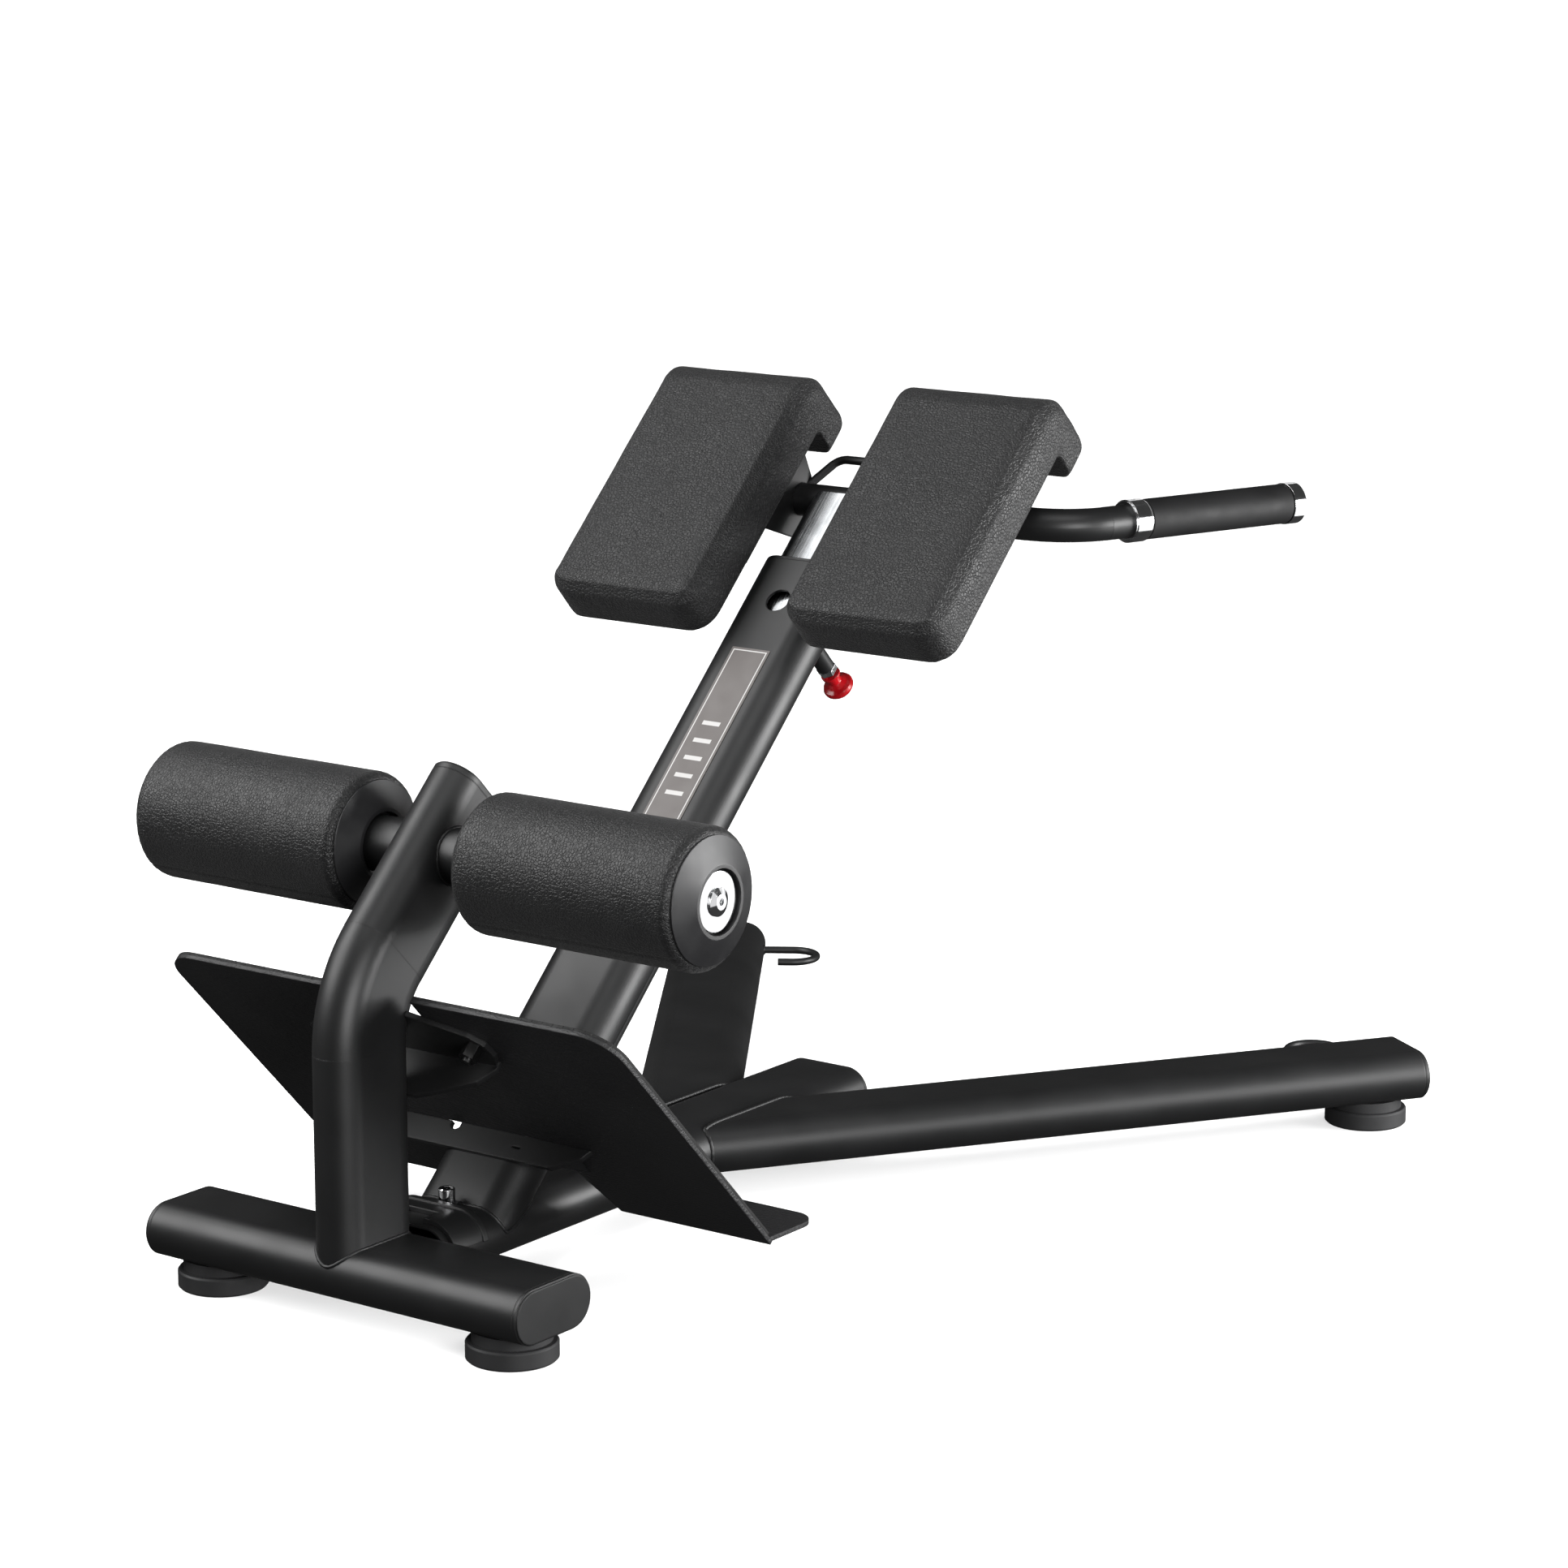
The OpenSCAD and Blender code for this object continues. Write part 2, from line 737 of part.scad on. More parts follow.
// A mushroom knob on the pin's outer end.
module pin_knob() color(knob_red) on_incline() translate([pin_u, 0, 0]) difference() {
  rotate_extrude() polygon([[0, -179.8], [11.5, -179.8], [11.5, -183], [8, -187], [8, -194],
    [13, -198], [17, -200], [18.4, -203], [18, -206], [15, -209.8], [9, -212], [0, -212]]);
  translate([0, 0, -196]) cylinder(r = pin_r, h = 60);
}

// ---- slider, handlebar and pads ----

slider_low_u = 716;

module slider_tube() color(chrome) machine() difference() {
  rotate([0, -incline, 0]) difference() {
    translate([0, 0, incline_n]) oval_tube_x(slider_w, slider_t, 3, slider_low_u, bar_u);
    for (hole = [-4 : 3]) translate([pin_u + hole * hole_pitch, 0, incline_n - slider_t])
      cylinder(r = pin_hole_r, h = slider_t);
  }
  bar_straight(bar_r);
}

// The lower guide that keeps the slider in line inside the incline tube.
module slider_guide() color(plastic_black) on_incline() translate([0, 0, incline_n]) difference() {
  oval_bar_x(tube_w - 2 * tube_wall - 2 * fit_gap, tube_t - 2 * tube_wall - 2 * fit_gap,
    slider_low_u, slider_low_u + 40);
  oval_bar_x(slider_w, slider_t, slider_low_u - 1, slider_low_u + 41);
}

module bar_straight(r) {
  end_y = bar_corner_y - bar_tangent + lap;
  translate([bar_x, 0, bar_z]) rod_y(r, -end_y, end_y);
}

// Places a child whose X runs along a grip, from the corner of the bar's bend.
module along_grip(side) {
  machine() mirror_if(side < 0) translate([bar_x, bar_corner_y, bar_z]) rotate(grip_angle)
    children();
}

module rod_x(r, from, to) {
  translate([from, 0, 0]) rotate([0, 90, 0]) cylinder(r = r, h = to - from);
}

module bar_solid(r, end) {
  machine() bar_straight(r);
  for (side = sides) {
    machine() mirror_if(side < 0)
      translate([bar_x + bar_bend_r, bar_corner_y - bar_tangent, bar_z]) rotate(180 - bar_turn)
        rotate_extrude(angle = bar_turn) translate([bar_bend_r, 0]) circle(r = r - swage / 2);
    along_grip(side) rod_x(r, bar_tangent - lap, end);
  }
}

module handlebar() color(frame_grey) difference() {
  bar_solid(bar_r, bar_end);
  bar_solid(bar_r - bar_wall, bar_end + 1);
}

module grip(side) color(rubber_black) along_grip(side) difference() {
  union() {
    rod_x(grip_r, grip_start + 2, grip_end - 2);
    rod_x(grip_r - 1.5, grip_start, grip_end);
  }
  rod_x(bar_r, grip_start - 1, grip_end + 1);
}

module left_grip() {
  grip(1);
}

module right_grip() {
  grip(-1);
}

module grip_ring(side) color(chrome) along_grip(side) difference() {
  union() {
    rod_x(24.4, grip_start - 22, grip_start - 2);
    rod_x(23.2, grip_start - 24, grip_start);
  }
  rod_x(bar_r, grip_start - 40, grip_start + 10);
  translate([grip_start - 12, 0, 10]) cylinder(r = 2.6, h = 30);
}

module left_grip_ring() {
  grip_ring(1);
}

module right_grip_ring() {
  grip_ring(-1);
}

module bar_cap(side) color(chrome) along_grip(side) difference() {
  union() {
    rod_x(24, grip_end, grip_end + 16);
    translate([grip_end + 16, 0, 0]) rotate([0, 90, 0]) cylinder(r1 = 24, r2 = 21, h = 3);
  }
  rod_x(bar_r, grip_end - 1, bar_end);
}

module left_bar_cap() {
  bar_cap(1);
}

module right_bar_cap() {
  bar_cap(-1);
}

// The thin bent rod above the handlebar that the pad carriage is lifted by.
loop_r = 5;
loop_half = 78;
loop_top_half = 44;
loop_rise = 62;
loop_bend_r = 20;

module loop_side(side, r) mirror_if(side < 0) {
  slope = atan2(loop_rise, loop_half - loop_top_half);
  trim = loop_bend_r * tan(slope / 2);
  leg_length = norm([loop_rise, loop_half - loop_top_half]);
  translate([0, loop_half, 0]) rotate([0, 0, slope - 90]) rotate([0, 90, 0])
    cylinder(r = r, h = leg_length - trim + lap);
  translate([loop_rise - loop_bend_r, loop_top_half - trim, 0]) rotate_extrude(angle = slope)
    translate([loop_bend_r, 0]) circle(r = r - swage / 2);
  translate([loop_rise, 0, 0]) rod_y(r, -lap, loop_top_half - trim + lap);
}

module pull_loop() color(frame_grey) difference() {
  on_incline() translate([bar_u, 0, incline_n]) for (side = sides) loop_side(side, loop_r);
  machine() bar_straight(bar_r);
}

// A pad bracket: a plate on the pad's back and two webs that hold the handlebar.
pad_plate_t = 5;
inner_web_y = 66;
outer_web_y = 200;

module bracket_profile(low_u) {
  n = pad_back_n - pad_plate_t;
  polygon([[low_u, n], [low_u + 28, incline_n - 22], [bar_u + 22, incline_n - 22],
    [bar_u + 40, n]]);
}

module pad_bracket(side) color(frame_grey) mirror_if(side < 0) difference() {
  on_incline() {
    translate([1020, inner_web_y, pad_back_n - pad_plate_t])
      cube([bar_u + 50 - 1020, outer_web_y + 6 - inner_web_y, pad_plate_t]);
    for (y = [inner_web_y, outer_web_y]) translate([0, y + 6, 0]) rotate([90, 0, 0])
      linear_extrude(6) bracket_profile(1072);
  }
  machine() bar_straight(bar_r);
  on_incline() translate([bar_u, 0, incline_n]) loop_side(1, loop_r + 0.5);
}

module left_pad_bracket() {
  pad_bracket(1);
}

module right_pad_bracket() {
  pad_bracket(-1);
}

// The pad's side view, X up the incline and Y square to it: a slab whose top wraps forward.
lip_low_u = 1213;
lip_front_n = -75;
top_r = 40;
lip_r = 16;

pad_corner_r = 31;

module pad_profile() {
  translate([pad_low_u, pad_back_n])
    square([pad_top_u - pad_low_u - top_r, pad_face_n - pad_back_n]);
  translate([pad_low_u, pad_back_n])
    square([pad_top_u - pad_low_u, pad_face_n - pad_back_n - top_r]);
  translate([pad_top_u - top_r, pad_face_n - top_r]) circle(r = top_r);
  translate([lip_low_u, lip_front_n])
    square([pad_top_u - lip_low_u - lip_r, pad_back_n - lip_front_n + 1]);
  translate([lip_low_u, lip_front_n + lip_r])
    square([pad_top_u - lip_low_u, pad_back_n - lip_front_n - lip_r + 1]);
  translate([pad_top_u - lip_r, lip_front_n + lip_r]) circle(r = lip_r);
}

// The edge between a pad's face and its sides is cut off at an angle.
pad_chamfer = 11;
pad_chamfer_n = 15;

module chamfer_cut() {
  polygon([[-pad_chamfer, -2 * pad_chamfer_n], [2 * pad_chamfer, pad_chamfer_n],
    [-pad_chamfer, pad_chamfer_n]]);
}

// The pad seen from its side, X up the incline and Y square to it.
module pad_side_view() {
  difference() {
    pad_profile();
    translate([pad_low_u, pad_face_n]) chamfer_cut();
  }
}

// The pad seen from its end, X across the machine and Y square to the incline.
module pad_end_view() {
  difference() {
    translate([pad_in_y, lip_front_n]) square([pad_out_y - pad_in_y, pad_face_n - lip_front_n]);
    translate([pad_in_y, pad_face_n]) chamfer_cut();
    translate([pad_out_y, pad_face_n]) mirror([1, 0]) chamfer_cut();
  }
}

// The pad seen from its face, X up the incline and Y across the machine.
module pad_face_view() {
  width = pad_out_y - pad_in_y;
  translate([pad_low_u + pad_corner_r, pad_in_y])
    square([pad_top_u - pad_low_u - 2 * pad_corner_r, width]);
  translate([pad_low_u, pad_in_y + pad_corner_r])
    square([pad_top_u - pad_low_u, width - 2 * pad_corner_r]);
  for (u = [pad_low_u + pad_corner_r, pad_top_u - pad_corner_r])
    for (y = [pad_in_y + pad_corner_r, pad_out_y - pad_corner_r])
      translate([u, y]) circle(r = pad_corner_r);
}

module pad(side) color(leather_black) mirror_if(side < 0) on_incline() intersection() {
  translate([0, pad_out_y, 0]) rotate([90, 0, 0]) linear_extrude(pad_out_y - pad_in_y)
    pad_side_view();
  translate([pad_low_u, 0, 0]) rotate([90, 0, 90]) linear_extrude(pad_top_u - pad_low_u)
    pad_end_view();
  translate([0, 0, lip_front_n]) linear_extrude(pad_face_n - lip_front_n) pad_face_view();
}

module left_pad() {
  pad(1);
}

module right_pad() {
  pad(-1);
}

rear_crossfoot();
rear_end_plates();
base_beam();
beam_end_plate();
left_leg();
right_leg();
left_leg_end_plate();
right_leg_end_plate();
rear_left_foot();
rear_right_foot();
front_left_foot();
front_right_foot();
foot_collars();
left_band_hook();
right_band_hook();
beam_saddle();
saddle_bolt();
saddle_washer();
roller_post();
roller_post_cap();
axle_tube();
axle_plugs();
axle_washers();
axle_screws();
left_roller_pad();
right_roller_pad();
left_roller_inner_cap();
right_roller_inner_cap();
left_roller_outer_cap();
right_roller_outer_cap();
left_roller_sleeve();
right_roller_sleeve();
footplate();
footplate_tread();
upper_bracket();
bracket_bolts();
bracket_nuts();
lower_bracket();
incline_tube();
incline_brace();
mouth_bush();
name_plate();
pin_housing();
pin_lock_nut();
pop_pin();
pin_knob();
slider_tube();
slider_guide();
handlebar();
pull_loop();
left_pad_bracket();
right_pad_bracket();
left_pad();
right_pad();
left_grip();
right_grip();
left_grip_ring();
right_grip_ring();
left_bar_cap();
right_bar_cap();
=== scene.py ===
"""Looks for the roman chair: camera, light, materials, cushions, foam rollers and weld beads."""
import json
import math

import bmesh
import bpy
from mathutils import Matrix, Vector, noise


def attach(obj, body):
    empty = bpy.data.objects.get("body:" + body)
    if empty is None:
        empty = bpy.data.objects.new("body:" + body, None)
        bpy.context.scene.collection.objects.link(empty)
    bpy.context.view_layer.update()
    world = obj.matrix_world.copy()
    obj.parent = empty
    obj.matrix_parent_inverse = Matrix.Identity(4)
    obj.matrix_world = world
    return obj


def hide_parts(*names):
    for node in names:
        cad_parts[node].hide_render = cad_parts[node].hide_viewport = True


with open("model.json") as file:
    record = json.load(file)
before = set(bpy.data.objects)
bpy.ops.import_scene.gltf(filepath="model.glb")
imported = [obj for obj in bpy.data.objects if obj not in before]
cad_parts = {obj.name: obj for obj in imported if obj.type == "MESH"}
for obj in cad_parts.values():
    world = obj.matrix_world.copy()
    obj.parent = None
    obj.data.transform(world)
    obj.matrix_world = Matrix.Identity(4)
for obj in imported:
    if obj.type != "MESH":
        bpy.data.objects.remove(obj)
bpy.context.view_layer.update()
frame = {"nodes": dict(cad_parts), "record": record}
NODES = frame["nodes"]

MM = 0.001
SIDES = (("left", 1), ("right", -1))

# The frame's own sizes in millimetres and degrees, as the part's source has them.
TUBE_W, TUBE_T, BASE_Z = 120, 58, 61
TUBE_R, FLAT_HALF = TUBE_T / 2, (TUBE_W - TUBE_T) / 2
SWAGE = 0.3  # a straight length of tube is this much wider than its bends
LEG_ROOT_X, LEG_END_X, LEG_CUT_Y, END_STEP = 538.7, 1298, 45, 1.5
HOOK_S, HOOK_ACROSS, HOOK_Z, HOOK_R = 872, -59.8, 63, 5.2
INCLINE_N = -66.5  # the incline tube's centre line, square to the incline
BRACE_W, BRACE_T, BRACE_BEND_R, BRACE_FROM_U = 56, 38, 100, 430
POST_W, POST_N = 115, 248
AXLE_U, AXLE_N, AXLE_R = 418.5, 254.5, 30
LABEL_U = (600 + 907) / 2

INCLINE, LEG = math.radians(44.17), math.radians(34)
CA, SA = math.cos(INCLINE), math.sin(INCLINE)
MIDDLE_X = (LEG_END_X + (TUBE_W / 2 - END_STEP) * math.sin(LEG) - TUBE_W / 2) / 2


# ---- places: millimetres in, points of the shared frame in metres out ----

def at(x, y, z):
    """A point with X measured from the rear feet."""
    return Vector(((x - MIDDLE_X) * MM, y * MM, z * MM))


def up_incline(u, y, n):
    """A point along the incline (u), across it (y) and square to it (n)."""
    return at(u * CA - n * SA, y, u * SA + n * CA)


def along_leg(s, across, z, side):
    """A point along a front leg's centre line; across is positive on the outer side."""
    x = LEG_ROOT_X + s * math.cos(LEG) - across * math.sin(LEG)
    return at(x, side * (s * math.sin(LEG) + across * math.cos(LEG)), z)


def oval(w, t, count):
    """The outline of a flat-oval section, w wide and t high, about the origin."""
    half, r = (w - t) / 2, t / 2
    steps = count // 4
    points = []
    for i in range(steps):
        points.append((-half + 2 * half * i / steps, -r))
    for i in range(steps):
        a = -math.pi / 2 + math.pi * i / steps
        points.append((half + r * math.cos(a), r * math.sin(a)))
    for i in range(steps):
        points.append((half - 2 * half * i / steps, r))
    for i in range(steps):
        a = math.pi / 2 + math.pi * i / steps
        points.append((-half + r * math.cos(a), r * math.sin(a)))
    return points


def base_top(across):
    """Height of a base tube's upper surface at a distance from its centre line."""
    over = max(0.0, min(abs(across) - FLAT_HALF, TUBE_R))
    return BASE_Z + math.sqrt(TUBE_R ** 2 - over ** 2)


# ---- materials ----

class Look:
    """A material and a short way to add nodes to it."""

    def __init__(self, name, color, roughness, metallic=0.0, specular=0.5):
        self.mat = bpy.data.materials.new(name)
        self.mat.use_nodes = True
        self.tree = self.mat.node_tree
        self.bsdf = self.tree.nodes["Principled BSDF"]
        self.set("Base Color", (*color, 1))
        self.set("Roughness", roughness)
        self.set("Metallic", metallic)
        self.set("Specular IOR Level", specular)
        self.coords = self.node("ShaderNodeTexCoord").outputs["Object"]

    def set(self, socket, value):
        self.bsdf.inputs[socket].default_value = value

    def node(self, kind, **values):
        n = self.tree.nodes.new(kind)
        for key, value in values.items():
            setattr(n, key, value)
        return n

    def link(self, a, b):
        self.tree.links.new(a, b)

    def noise(self, scale, detail=2.0, rough=0.5, coords=None):
        n = self.node("ShaderNodeTexNoise")
        n.inputs["Scale"].default_value = scale
        n.inputs["Detail"].default_value = detail
        n.inputs["Roughness"].default_value = rough
        self.link(coords or self.coords, n.inputs["Vector"])
        return n.outputs["Fac"]

    def voronoi(self, scale, feature, randomness=1.0, coords=None):
        n = self.node("ShaderNodeTexVoronoi", feature=feature)
        n.inputs["Scale"].default_value = scale
        n.inputs["Randomness"].default_value = randomness
        self.link(coords or self.coords, n.inputs["Vector"])
        return n.outputs["Distance"]

    def stretched(self, rotation, scale):
        """The object's coordinates, turned and then scaled along each axis."""
        n = self.node("ShaderNodeMapping")
        n.inputs["Rotation"].default_value = rotation
        self.link(self.coords, n.inputs["Vector"])
        m = self.node("ShaderNodeMapping")
        m.inputs["Scale"].default_value = scale
        self.link(n.outputs["Vector"], m.inputs["Vector"])
        return m.outputs["Vector"]

    def math(self, operation, a, b=None, c=None):
        n = self.node("ShaderNodeMath", operation=operation)
        for i, v in enumerate((a, b, c)):
            if v is None:
                continue
            if isinstance(v, (int, float)):
                n.inputs[i].default_value = v
            else:
                self.link(v, n.inputs[i])
        return n.outputs[0]

    def span(self, value, low, high, new_low, new_high):
        """A value's range from low to high, mapped onto a new range and held within it."""
        n = self.node("ShaderNodeMapRange")
        self.link(value, n.inputs["Value"])
        for key, v in (("From Min", low), ("From Max", high), ("To Min", new_low),
                       ("To Max", new_high)):
            n.inputs[key].default_value = v
        return n.outputs["Result"]

    def roughness_from(self, value, low, high):
        self.link(self.span(value, 0.3, 0.7, low, high), self.bsdf.inputs["Roughness"])

    def color_from(self, value, dark, light, low=0.35, high=0.65):
        n = self.node("ShaderNodeMix", data_type="RGBA")
        self.link(self.span(value, low, high, 0.0, 1.0), n.inputs["Factor"])
        n.inputs["A"].default_value = (*dark, 1)
        n.inputs["B"].default_value = (*light, 1)
        self.link(n.outputs["Result"], self.bsdf.inputs["Base Color"])

    def bumps(self, layers, round_edges=0.0):
        """layers: (height, strength, distance in metres), from the coarsest to the finest."""
        normal = None
        if round_edges:
            b = self.node("ShaderNodeBevel", samples=4)
            b.inputs["Radius"].default_value = round_edges
            normal = b.outputs["Normal"]
        for height, strength, distance in layers:
            n = self.node("ShaderNodeBump")
            n.inputs["Strength"].default_value = strength
            n.inputs["Distance"].default_value = distance
            self.link(height, n.inputs["Height"])
            if normal is not None:
                self.link(normal, n.inputs["Normal"])
            normal = n.outputs["Normal"]
        self.link(normal, self.bsdf.inputs["Normal"])


def powder_coat(name, dark, light, rough_low, rough_high, grain=0.10, hammered=False):
    """Powder coat with a fine grain, or with the short raised streaks of a footplate's back."""
    look = Look(name, light, rough_low)
    look.color_from(look.noise(9, 4), dark, light)
    look.roughness_from(look.noise(14, 5), rough_low, rough_high)
    coarse = (look.noise(260, 2), grain * 0.6, 0.0004)
    if hammered:
        streaks = look.noise(1.0, 2, 0.5, look.stretched((0, INCLINE, 0), (330, 110, 330)))
        coarse = (look.span(streaks, 0.42, 0.60, 0.0, 1.0), 0.75, 0.0005)
    look.bumps([coarse, (look.noise(1300, 3), grain, 0.00018)], round_edges=0.0022)
    return look.mat


def leather(name, dark, light, cells, depth, rough_low, rough_high):
    """Pebbled leather: cells per metre with warped edges, a fine grain and wide creases."""
    look = Look(name, light, rough_low, specular=0.42)
    look.set("Sheen Weight", 0.08)
    look.set("Sheen Roughness", 0.5)
    warp = look.node("ShaderNodeVectorMath", operation="MULTIPLY_ADD")
    wobble = look.node("ShaderNodeTexNoise")
    wobble.inputs["Scale"].default_value = cells * 0.6
    look.link(look.coords, wobble.inputs["Vector"])
    look.link(wobble.outputs["Color"], warp.inputs[0])
    warp.inputs[1].default_value = (0.0035, 0.0035, 0.0035)
    look.link(look.coords, warp.inputs[2])
    edge = look.voronoi(cells, "DISTANCE_TO_EDGE", 1.0, warp.outputs[0])
    pebble = look.span(edge, 0.0, 0.22, 0.0, 1.0)
    fine = look.noise(cells * 4.5, 3)
    creases = look.noise(cells * 0.22, 5, 0.6)
    look.color_from(look.math("ADD", look.math("MULTIPLY", pebble, 0.35), look.noise(12, 4)),
                    dark, light, 0.4, 1.0)
    look.roughness_from(look.noise(22, 4), rough_low, rough_high)
    look.bumps([(creases, 0.3, depth), (pebble, 0.9, depth), (fine, 0.2, depth * 0.3)])
    return look.mat


def moulded(name, dark, light, rough_low, rough_high, grain, specular=0.5):
    """Moulded rubber or plastic with a fine grain."""
    look = Look(name, light, rough_low, specular=specular)
    look.color_from(look.noise(15, 4), dark, light)
    look.roughness_from(look.noise(35, 4), rough_low, rough_high)
    look.bumps([(look.noise(800, 3), grain, 0.0002)], round_edges=0.0012)
    return look.mat


def bright_metal(name, dark, light, rough_low, rough_high, lengthwise=None):
    """Plated metal; its fine hairs run along X after the rotation lengthwise, if one is given."""
    look = Look(name, light, rough_low, metallic=1.0)
    if lengthwise:
        hairs = look.noise(1.0, 3, 0.6, look.stretched(lengthwise, (7, 900, 900)))
    else:
        hairs = look.noise(500, 4)
    look.color_from(look.noise(40, 3), dark, light)
    look.roughness_from(hairs, rough_low, rough_high)
    look.bumps([(hairs, 0.06, 0.0001)], round_edges=0.0008)
    return look.mat


def red_gloss():
    """The pull knob's glossy red plastic."""
    look = Look("knob_gloss", (0.42, 0.004, 0.008), 0.22)
    look.set("Coat Weight", 0.35)
    look.set("Coat Roughness", 0.12)
    look.color_from(look.noise(60, 3), (0.34, 0.003, 0.006), (0.46, 0.005, 0.010))
    look.roughness_from(look.noise(120, 3), 0.18, 0.30)
    look.bumps([(look.noise(300, 2), 0.05, 0.0002)], round_edges=0.0012)
    return look.mat


def studded_tread():
    """Black rubber with rows of small round studs across the footplate."""
    look = Look("tread_studs", (0.014, 0.014, 0.014), 0.7, specular=0.35)
    look.color_from(look.noise(25, 4), (0.010, 0.010, 0.010), (0.018, 0.018, 0.018))
    look.roughness_from(look.noise(60, 4), 0.62, 0.8)
    flat = look.stretched((0, INCLINE, 0), (0, 1, 1))
    stud = look.span(look.voronoi(75, "F1", 0.0, flat), 0.30, 0.22, 0.0, 1.0)
    look.bumps([(stud, 0.8, 0.0011), (look.noise(900, 3), 0.15, 0.0002)], round_edges=0.001)
    return look.mat


BORDER_HALF_LONG, BORDER_HALF_WIDE, LINE_HALF = 0.1500, 0.0225, 0.0007
BARS_HALF_LONG, BARS_HALF_WIDE, BAR_STEP, BAR_HALF = 0.052, 0.012, 0.012, 0.0028


def label_film():
    """A plain plate, drawn in metres: a thin pale border and a few plain bars."""
    look = Look("label_film", (0.13, 0.118, 0.112), 0.42)
    place = look.node("ShaderNodeMapping")
    place.inputs["Rotation"].default_value = (0, INCLINE, 0)
    look.link(look.coords, place.inputs["Vector"])
    axes = look.node("ShaderNodeSeparateXYZ")
    look.link(place.outputs["Vector"], axes.inputs[0])
    centre = (LABEL_U - MIDDLE_X * CA) * MM
    du = look.math("ABSOLUTE", look.math("SUBTRACT", axes.outputs["X"], centre))
    dy = look.math("ABSOLUTE", axes.outputs["Y"])
    past_border = look.math("MAXIMUM", look.math("SUBTRACT", du, BORDER_HALF_LONG),
                            look.math("SUBTRACT", dy, BORDER_HALF_WIDE))
    border = look.math("COMPARE", past_border, 0.0, LINE_HALF)
    wave = look.math("PINGPONG", du, BAR_STEP)
    past_bars = look.math("MAXIMUM", look.math("SUBTRACT", du, BARS_HALF_LONG),
                          look.math("SUBTRACT", dy, BARS_HALF_WIDE))
    bars = look.math("MULTIPLY", look.math("LESS_THAN", wave, BAR_HALF),
                     look.math("LESS_THAN", past_bars, 0.0))
    ink = look.math("MAXIMUM", border, bars)
    look.color_from(ink, (0.125, 0.112, 0.106), (0.62, 0.61, 0.60), 0.0, 1.0)
    look.roughness_from(look.noise(50, 4), 0.36, 0.5)
    look.bumps([(ink, 0.2, 0.0001), (look.noise(700, 2), 0.04, 0.0001)])
    return look.mat


COAT = powder_coat("satin_coat", (0.008, 0.0082, 0.0085), (0.012, 0.0122, 0.0126), 0.40, 0.48)
LEATHER = leather("pad_leather", (0.009, 0.009, 0.0095), (0.015, 0.015, 0.0155),
                  250, 0.0005, 0.44, 0.54)
ROLLER_LEATHER = leather("roller_leather", (0.006, 0.006, 0.0064), (0.010, 0.010, 0.0104),
                         280, 0.00035, 0.38, 0.50)
LOOKS = {
    "frame_coat": COAT,
    "foot_rubber": moulded("foot_rubber_matt", (0.016, 0.016, 0.017), (0.024, 0.024, 0.025),
                           0.55, 0.72, 0.15),
    "tread_rubber": studded_tread(),
    "pad_leather": LEATHER,
    "black_plastic": moulded("fine_black_plastic", (0.011, 0.011, 0.012), (0.016, 0.016, 0.017),
                             0.34, 0.46, 0.08),
    "grip_rubber": moulded("grip_satin", (0.007, 0.007, 0.0074), (0.011, 0.011, 0.0114),
                           0.56, 0.68, 0.1, specular=0.3),
    "bright_chrome": bright_metal("polished_chrome", (0.72, 0.73, 0.74), (0.82, 0.82, 0.83),
                                  0.05, 0.14),
    "slider_steel": bright_metal("rubbed_chrome", (0.34, 0.35, 0.36), (0.48, 0.49, 0.50),
                                 0.14, 0.30, (0, INCLINE, 0)),
    "plated_steel": bright_metal("blackened_steel", (0.05, 0.05, 0.05), (0.09, 0.09, 0.09),
                                 0.28, 0.42),
    "knob_red": red_gloss(),
    "label_plate": label_film(),
}
PLATE_COAT = powder_coat("plate_coat", (0.012, 0.012, 0.013), (0.017, 0.017, 0.018),
                         0.46, 0.58, 0.3, hammered=True)

slots = {part["node"]: part["material_slot"] for part in frame["record"]["subparts"]}
for name, node in NODES.items():
    finish = PLATE_COAT if name == "footplate" else LOOKS[slots[name]]
    node.data.materials.clear()
    node.data.materials.append(finish)


# ---- new pieces ----

def piece(name, verts, faces, finish, body):
    """A new smooth-shaded mesh on a body, with its material."""
    mesh = bpy.data.meshes.new(name)
    mesh.from_pydata([tuple(v) for v in verts], [], faces)
    mesh.materials.append(finish)
    obj = bpy.data.objects.new(name, mesh)
    bpy.context.scene.collection.objects.link(obj)
    bm = bmesh.new()
    bm.from_mesh(mesh)
    bmesh.ops.recalc_face_normals(bm, faces=bm.faces)
    bm.to_mesh(mesh)
    bm.free()
    mesh.polygons.foreach_set("use_smooth", [True] * len(mesh.polygons))
    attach(obj, body)
    return obj


RIPPLE, RIPPLE_LENGTH = 0.10, 0.0011


